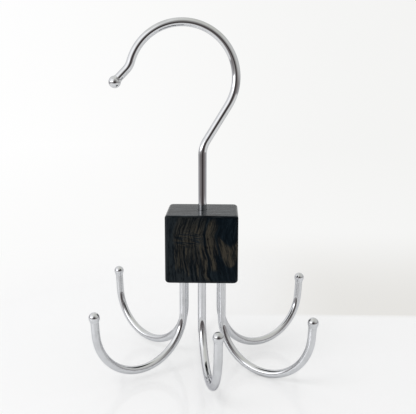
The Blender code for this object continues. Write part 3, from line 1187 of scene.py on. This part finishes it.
@dataclass
class WoodBlock:
    """The turned-over wooden block, bored for the swivel and for the six hooks."""

    hooks: LowerHooks
    edge_radius: float = 0.0016
    corner_radius: float = 0.0027
    edge_segments: int = 8
    stem_gap: float = 0.00015
    hook_gap: float = 0.00004
    mouth_width: float = 0.00025
    stem_diameter: float = 0.0045
    bush_gap: float = 0.00005
    overrun: float = 0.001

    def bore_tool(self) -> bpy.types.Object:
        """The stepped tool that bores the block on the swivel axis.

        Returns:
            The closed tool.
        """
        low, high = BLOCK_BOX
        bush_low, bush_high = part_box("swivel_bush")
        flange = bush_high.x
        stem = self.stem_diameter / 2 + self.stem_gap
        bush = SwivelHardware().bush_diameter / 2 + self.bush_gap
        pocket = SwivelHardware().pocket_radius
        roof = bush_low.z + SwivelHardware().flange_thickness + self.bush_gap
        mouth = self.mouth_width
        log.info("bush flange %.2f mm, pocket %.2f mm", flange * MILLIMETRES, pocket * MILLIMETRES)
        profile = [
            (stem + mouth + self.overrun, high.z + self.overrun),
            (stem + mouth, high.z),
            (stem, high.z - mouth),
            (stem, bush_high.z + self.bush_gap),
            (bush, bush_high.z + self.bush_gap),
            (bush, roof),
            (pocket, roof),
            (pocket, low.z + mouth),
            (pocket + mouth, low.z),
            (pocket + mouth + self.overrun, low.z - self.overrun),
        ]
        return turned("bore_tool", profile, ring=64)

    def hole_tool(self, centre: Vector) -> bpy.types.Object:
        """The tool that drills one hook's hole.

        Args:
            centre: The middle of the hole, level with the block's underside.

        Returns:
            The closed tool.
        """
        radius = self.hooks.wire_diameter / 2 + self.hook_gap
        mouth = self.mouth_width
        profile = [
            (radius, self.hooks.hole_depth),
            (radius, mouth),
            (radius + mouth, 0.0),
            (radius + mouth + self.overrun, -self.overrun),
        ]
        tool = turned("hole_tool", profile, ring=40)
        tool.location = centre
        Bench.settle(tool)
        return tool

    def round_edges(self, block: bpy.types.Object, upright: bool, radius: float) -> None:
        """Round the block's four upright edges, or all those round its top and its underside.

        Args:
            block: The block, still without bores.
            upright: Whether the upright edges are meant.
            radius: The rounding's radius.
        """
        bpy.ops.object.mode_set(mode="EDIT")
        bpy.ops.mesh.select_mode(type="EDGE")
        bpy.ops.mesh.select_all(action="DESELECT")
        bpy.ops.object.mode_set(mode="OBJECT")
        points = block.data.vertices
        for edge in block.data.edges:
            first, second = (points[number].co.z for number in edge.vertices)
            edge.select = (abs(first - second) > WELD_DISTANCE) == upright
        bpy.ops.object.mode_set(mode="EDIT")
        bpy.ops.mesh.bevel(offset=radius, segments=self.edge_segments, profile=0.5)
        bpy.ops.mesh.select_mode(type="VERT")
        bpy.ops.object.mode_set(mode="OBJECT")

    def build(self, bench: Bench) -> None:
        """Cut the block, round its edges and bore it.

        Args:
            bench: The bench that dresses the piece.
        """
        low, high = BLOCK_BOX
        Bench.clear_selection()
        bpy.ops.mesh.primitive_cube_add(size=1.0, location=(low + high) / 2)
        block = bpy.context.object
        block.name = "wood_block"
        block.scale = high - low
        Bench.settle(block)
        self.round_edges(block, True, self.corner_radius)
        self.round_edges(block, False, self.edge_radius)
        Bench.carve(block, self.bore_tool())
        for centre in self.hooks.hole_centres():
            Bench.carve(block, self.hole_tool(centre))
        Bench.smooth(block)
        Bench.keep_flats(block)
        bench.dress(block, Slot.WOOD, Body.CARRIER, "block")


@dataclass
class SwivelHardware:
    """The bush, washer and two nuts on which the block turns."""

    bush_diameter: float = 0.0070
    flange_thickness: float = 0.0012
    bush_bore: float = 0.0042
    nut_across_flats: float = 0.0070
    nut_chamfer: float = 0.0005
    nut_bore: float = 0.0041
    bore_chamfer: float = 0.0003
    washer_bore: float = 0.0043
    eased: float = 0.00012
    pocket_margin: float = 0.0014

    @property
    def pocket_radius(self) -> float:
        """The radius of the pocket that a socket for the nuts needs."""
        return self.nut_across_flats / (2 * cos(pi / 6)) + self.pocket_margin

    def nut(self, bench: Bench, node: str) -> None:
        """A hexagon nut with chamfered corners and a countersunk bore.

        Args:
            bench: The bench that dresses the piece.
            node: The CAD node that gives its place and height.
        """
        low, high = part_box(node)
        corner = self.nut_across_flats / (2 * cos(pi / 6))
        face = self.nut_across_flats / 2
        Bench.clear_selection()
        bpy.ops.mesh.primitive_cylinder_add(
            vertices=6, radius=corner, depth=high.z - low.z, location=(0.0, 0.0, (low.z + high.z) / 2)
        )
        nut = bpy.context.object
        nut.name = node + "_plated"
        Bench.settle(nut)
        slope = self.nut_chamfer / (corner - face)
        rim = corner + self.eased
        drop = slope * (rim - face)
        cone = [(face, high.z), (rim, high.z - drop), (rim, low.z + drop), (face, low.z)]
        Bench.carve(nut, turned("cone_tool", cone, ring=72), "INTERSECT")
        bore = self.nut_bore / 2
        mouth = bore + self.bore_chamfer
        past = mouth + self.eased
        drill = [
            (past, high.z + self.eased),
            (bore, high.z - self.bore_chamfer),
            (bore, low.z + self.bore_chamfer),
            (past, low.z - self.eased),
        ]
        Bench.carve(nut, turned("drill_tool", drill, ring=48))
        Bench.ease_edges(nut, self.eased / 2, segments=2, angle=0.5)
        Bench.smooth(nut)
        bench.dress(nut, Slot.ZINC, Body.HANGER, node)

    def washer(self, bench: Bench) -> None:
        """The thrust washer.

        Args:
            bench: The bench that dresses the piece.
        """
        low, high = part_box("thrust_washer")
        bore = self.washer_bore / 2
        washer = self.tube("thrust_washer_plated", bore, high.x, low.z, high.z)
        bench.dress(washer, Slot.ZINC, Body.HANGER, "thrust_washer")

    def tube(self, name: str, bore: float, outer: float, low: float, high: float) -> bpy.types.Object:
        """A plain ring with eased edges.

        Args:
            name: The piece's name.
            bore: The inner radius.
            outer: The outer radius.
            low: The height of its lower face.
            high: The height of its upper face.

        Returns:
            The ring's mesh object.
        """
        profile = [(bore, high), (outer, high), (outer, low), (bore, low), (bore, high)]
        ring = turned(name, profile, ring=64)
        Bench.ease_edges(ring, self.eased, segments=3)
        Bench.smooth(ring)
        return ring

    def bush(self, bench: Bench) -> None:
        """The flanged bush.

        Args:
            bench: The bench that dresses the piece.
        """
        low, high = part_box("swivel_bush")
        bore = self.bush_bore / 2
        barrel = self.bush_diameter / 2
        flange = high.x
        profile = [
            (bore, high.z),
            (barrel, high.z),
            (barrel, low.z + self.flange_thickness),
            (flange, low.z + self.flange_thickness),
            (flange, low.z),
            (bore, low.z),
            (bore, high.z),
        ]
        bush = turned("swivel_bush_moulded", profile, ring=64)
        Bench.ease_edges(bush, self.eased, segments=3)
        Bench.smooth(bush)
        bench.dress(bush, Slot.NYLON, Body.CARRIER, "swivel_bush")

    def build(self, bench: Bench) -> None:
        """Make the four pieces, from the bush down.

        Args:
            bench: The bench that dresses the pieces.
        """
        self.bush(bench)
        self.washer(bench)
        self.nut(bench, "swivel_nut")
        self.nut(bench, "lock_nut")


@dataclass
class LightTent:
    """The pale tent round the table, which only mirrors show: a window on the left and a dim front."""

    half_width: float = 0.60
    front: float = -0.45
    back: float = 1.15
    low: float = -0.32
    high: float = 0.90
    corner_radius: float = 0.15
    corner_segments: int = 6
    window: Colour = (1.36, 1.35, 1.36)
    left_wall: Colour = (1.00, 1.00, 1.01)
    right_wall: Colour = (0.73, 0.73, 0.71)
    back_wall: Colour = (0.86, 0.86, 0.87)
    left_roof: Colour = (0.92, 0.92, 0.89)
    right_roof: Colour = (0.74, 0.74, 0.69)
    front_skirt: Colour = (0.27, 0.245, 0.245)
    side_skirt: Colour = (0.47, 0.46, 0.47)
    pane: Colour = (3.4, 3.4, 3.5)
    flank: Colour = (0.36, 0.35, 0.34)
    dim: Colour = (0.045, 0.035, 0.035)
    dim_x: float = 0.05
    dim_skirt_reach: float = 0.40

    def colour(self, sheet: NodeSheet) -> Socket:
        """The tent's brightness, by the place on its walls.

        Args:
            sheet: The sheet of its material.

        Returns:
            The colour's socket.
        """
        x, y, z = sheet.split(sheet.placed((1.0, 1.0, 1.0)))
        away = sheet.node("VectorMath", operation="LENGTH")
        aside = sheet.math("SUBTRACT", x, self.dim_x)
        sheet.feed(away.inputs[0], sheet.vector(aside, sheet.math("MAXIMUM", z, 0.0), 0.0))
        far = away.outputs["Value"]
        flank = sheet.mix(sheet.step(far, 0.15, 0.68), self.flank, self.right_wall)
        facing = sheet.mix(sheet.step(far, 0.03, 0.20), self.dim, flank)
        facing = sheet.mix(sheet.step(x, -0.04, -0.34), facing, self.window)
        leftward = sheet.step(x, 0.30, -0.30)
        sides = sheet.mix(leftward, self.right_wall, self.left_wall)
        upper = sheet.mix(sheet.step(y, -0.40, 0.10), facing, sides)
        aside = sheet.math("ABSOLUTE", sheet.math("SUBTRACT", x, self.dim_x))
        skirt = sheet.mix(sheet.step(aside, 0.0, self.dim_skirt_reach), self.dim, self.front_skirt)
        skirt = sheet.mix(sheet.step(y, -0.40, 0.10), skirt, self.side_skirt)
        wall = sheet.mix(sheet.step(z, -0.14, 0.12), skirt, upper)
        pane = sheet.math("MULTIPLY", sheet.step(x, -0.26, -0.34), sheet.step(z, -0.06, -0.02))
        pane = sheet.math("MULTIPLY", pane, sheet.step(z, 0.09, 0.05))
        pane = sheet.math("MULTIPLY", pane, sheet.step(y, -0.04, -0.20))
        wall = sheet.mix(pane, wall, self.pane)
        wall = sheet.mix(sheet.step(y, 0.30, 0.90), wall, self.back_wall)
        roof = sheet.mix(leftward, self.right_roof, self.left_roof)
        return sheet.mix(sheet.step(z, 0.35, 0.80), wall, roof)

    def build(self) -> None:
        """Put up the tent, unseen by all but mirrored rays."""
        Bench.clear_selection()
        low = Vector((-self.half_width, self.front, self.low))
        high = Vector((self.half_width, self.back, self.high))
        bpy.ops.mesh.primitive_cube_add(size=1.0, location=(low + high) / 2)
        tent = bpy.context.object
        tent.name = "light_tent"
        tent.scale = high - low
        Bench.settle(tent)
        bpy.ops.object.mode_set(mode="EDIT")
        bpy.ops.mesh.select_all(action="SELECT")
        bpy.ops.mesh.bevel(offset=self.corner_radius, segments=self.corner_segments, profile=0.5)
        bpy.ops.mesh.normals_make_consistent(inside=True)
        bpy.ops.object.mode_set(mode="OBJECT")
        material, sheet, shader = new_material("tent_cloth")
        glow = sheet.node("Emission")
        sheet.feed(glow.inputs["Color"], self.colour(sheet))
        sheet.feed(material.node_tree.nodes["Material Output"].inputs["Surface"], glow.outputs[0])
        material.node_tree.nodes.remove(shader)
        material.cycles.emission_sampling = "NONE"
        tent.data.materials.append(material)
        for kind in ("camera", "diffuse", "shadow", "transmission", "volume_scatter"):
            setattr(tent, "visible_" + kind, False)


@dataclass
class Studio:
    """A white table that sweeps up into its backdrop, in even light with a soft window on the left."""

    camera_place: Vector = field(default_factory=lambda: Vector((0.011528, -0.370237, -0.022998)))
    camera_yaw: float = radians(-1.3196)
    camera_pitch: float = radians(10.5601)
    camera_roll: float = radians(0.1127)
    lens: float = 60.67
    sensor_width: float = 36.0
    table_gap: float = 0.0001
    table_size: float = 2.6
    sweep_radius: float = 0.5
    sweep_steps: int = 16
    sweep_rise: float = 1.5
    table_colour: Colour = (0.948, 0.95, 0.958)
    table_roughness: float = 0.09
    table_specular: float = 0.50
    fade_start: float = 0.06
    fade_end: float = 0.30
    near_haze: float = 0.45
    backdrop_left: Colour = (1.00, 1.00, 1.00)
    backdrop_right: Colour = (0.905, 0.905, 0.895)
    wall_line: float = 0.078
    wall_shade: Colour = (0.79, 0.78, 0.755)
    mirror_front: float = -0.20
    mirror_front_end: float = -0.34
    mirror_side: float = 0.42
    mirror_side_end: float = 0.52
    ambient: float = 0.82
    key_power: float = 3.0
    key_size: float = 0.6
    key_place: Vector = field(default_factory=lambda: Vector((-0.55, -0.45, 0.75)))

    def camera(self) -> None:
        """Place the camera where the photograph was taken from."""
        yaw, pitch, roll = self.camera_yaw, self.camera_pitch, self.camera_roll
        ahead = Vector((sin(yaw) * cos(pitch), cos(yaw) * cos(pitch), -sin(pitch)))
        level = Vector((cos(yaw), -sin(yaw), 0.0))
        above = level.cross(ahead)
        right = level * cos(roll) + above * sin(roll)
        top = above * cos(roll) - level * sin(roll)
        data = bpy.data.cameras.new("photo_camera")
        data.lens = self.lens
        data.sensor_width = self.sensor_width
        data.sensor_fit = "HORIZONTAL"
        data.clip_start = 0.01
        eye = bpy.data.objects.new("photo_camera", data)
        turn = Matrix((right, top, -ahead)).transposed().to_4x4()
        eye.matrix_world = Matrix.Translation(self.camera_place) @ turn
        bpy.context.scene.collection.objects.link(eye)
        bpy.context.scene.camera = eye

    def room(self) -> None:
        """Fill the studio with even light."""
        world = bpy.data.worlds.new("pale_room")
        bpy.context.scene.world = world
        world.use_nodes = True
        sheet = NodeSheet(world.node_tree)
        path = sheet.node("LightPath")
        toward = sheet.split(sheet.node("TexCoord").outputs["Generated"])[0]
        distant = sheet.mix(sheet.step(toward, -0.40, 0.29), self.backdrop_left, self.backdrop_right)
        seen = sheet.mix(path.outputs["Is Camera Ray"], (self.ambient,) * 3, distant)
        light = world.node_tree.nodes["Background"]
        sheet.feed(light.inputs["Color"], seen)
        light.inputs["Strength"].default_value = 1.0

    def sweep(self) -> bpy.types.Object:
        """Shape the table and the backdrop that it sweeps up into.

        Returns:
            The mesh object.
        """
        height = CAD_BOX[0].z - self.table_gap
        half = self.table_size / 2
        Bench.clear_selection()
        bpy.ops.mesh.primitive_grid_add(
            x_subdivisions=8, y_subdivisions=8, size=self.table_size, location=(0.0, 0.0, height)
        )
        table = bpy.context.object
        table.name = "white_table"
        Bench.settle(table)
        for edge in table.data.edges:
            edge.select = all(abs(table.data.vertices[v].co.y - half) < WELD_DISTANCE for v in edge.vertices)
        for vertex in table.data.vertices:
            vertex.select = abs(vertex.co.y - half) < WELD_DISTANCE
        for face in table.data.polygons:
            face.select = False
        bpy.ops.object.mode_set(mode="EDIT")
        centre = (0.0, half, height + self.sweep_radius)
        bpy.ops.mesh.spin(steps=self.sweep_steps, angle=pi / 2, center=centre, axis=(1.0, 0.0, 0.0))
        bpy.ops.mesh.extrude_region_move(TRANSFORM_OT_translate={"value": (0.0, 0.0, self.sweep_rise)})
        bpy.ops.mesh.select_all(action="SELECT")
        bpy.ops.mesh.normals_make_consistent(inside=False)
        bpy.ops.object.mode_set(mode="OBJECT")
        Bench.smooth(table)
        return table

    def table(self) -> None:
        """Lay the white table, whose colour passes into the backdrop's a little way from the object."""
        table = self.sweep()
        material, sheet, shader = new_material("white_table_top")
        place = sheet.placed((1.0, 1.0, 1.0))
        x, y, z = sheet.split(place)
        shader.inputs["Base Color"].default_value = (*self.table_colour, 1.0)
        shader.inputs["Roughness"].default_value = self.table_roughness
        shader.inputs["Specular IOR Level"].default_value = self.table_specular
        far = sheet.node("VectorMath", operation="LENGTH")
        sheet.feed(far.inputs[0], sheet.vector(x, y, 0.0))
        path = sheet.node("LightPath")
        behind = sheet.step(y, self.wall_line - 0.004, self.wall_line + 0.004)
        walled = sheet.math("MULTIPLY", behind, sheet.step(x, -0.04, 0.10))
        near = sheet.math("MAXIMUM", walled, self.near_haze)
        near = sheet.math("MULTIPLY", path.outputs["Is Camera Ray"], near)
        haze = sheet.math("MAXIMUM", sheet.step(far.outputs["Value"], self.fade_start, self.fade_end), near)
        looked_at = sheet.math("MAXIMUM", path.outputs["Is Camera Ray"], path.outputs["Is Glossy Ray"])
        looked_at = sheet.math("MAXIMUM", looked_at, path.outputs["Is Transmission Ray"])
        backdrop = sheet.node("Emission")
        tone = sheet.mix(sheet.step(x, -0.55, 0.40), self.backdrop_left, self.backdrop_right)
        shaded = sheet.math("MULTIPLY", walled, sheet.step(y, self.wall_line + 0.28, self.wall_line))
        shaded = sheet.math("MULTIPLY", shaded, sheet.step(x, 0.75, 0.25))
        tone = sheet.mix(shaded, tone, self.wall_shade)
        sheet.feed(backdrop.inputs["Color"], tone)
        mixed = sheet.node("MixShader")
        sheet.feed(mixed.inputs[0], sheet.math("MULTIPLY", haze, looked_at))
        sheet.feed(mixed.inputs[1], shader.outputs[0])
        sheet.feed(mixed.inputs[2], backdrop.outputs[0])
        past_front = sheet.step(y, self.mirror_front, self.mirror_front_end)
        past_side = sheet.step(sheet.math("ABSOLUTE", x), self.mirror_side, self.mirror_side_end)
        past = sheet.math("MAXIMUM", past_front, past_side)
        gone = sheet.math("MULTIPLY", past, path.outputs["Is Glossy Ray"])
        edge = sheet.node("MixShader")
        sheet.feed(edge.inputs[0], gone)
        sheet.feed(edge.inputs[1], mixed.outputs[0])
        sheet.feed(edge.inputs[2], sheet.node("BsdfTransparent").outputs[0])
        sheet.feed(material.node_tree.nodes["Material Output"].inputs["Surface"], edge.outputs[0])
        material.cycles.emission_sampling = "NONE"
        table.data.materials.append(material)

    def lamps(self) -> None:
        """Hang one large soft lamp on the left, where the window is."""
        data = bpy.data.lights.new("window_light", "AREA")
        data.shape = "SQUARE"
        data.size = self.key_size
        data.energy = self.key_power
        lamp = bpy.data.objects.new("window_light", data)
        aim = (CAD_BOX[0] + CAD_BOX[1]) / 2 - self.key_place
        turn = aim.to_track_quat("-Z", "Y").to_matrix().to_4x4()
        lamp.matrix_world = Matrix.Translation(self.key_place) @ turn
        lamp.visible_glossy = False
        bpy.context.scene.collection.objects.link(lamp)

    def build(self) -> None:
        """Set up the whole studio."""
        bpy.context.scene.view_settings.view_transform = "Standard"
        self.camera()
        self.room()
        self.table()
        LightTent().build()
        self.lamps()


def main() -> None:
    """Build the studio and dress every piece."""
    logging.basicConfig(level=logging.INFO, format="%(name)s: %(message)s")
    Studio().build()
    bench = Bench()
    TopHook().build(bench)
    hooks = LowerHooks()
    hooks.build(bench)
    WoodBlock(hooks).build(bench)
    SwivelHardware().build(bench)


if __name__ == "__main__":
    main()
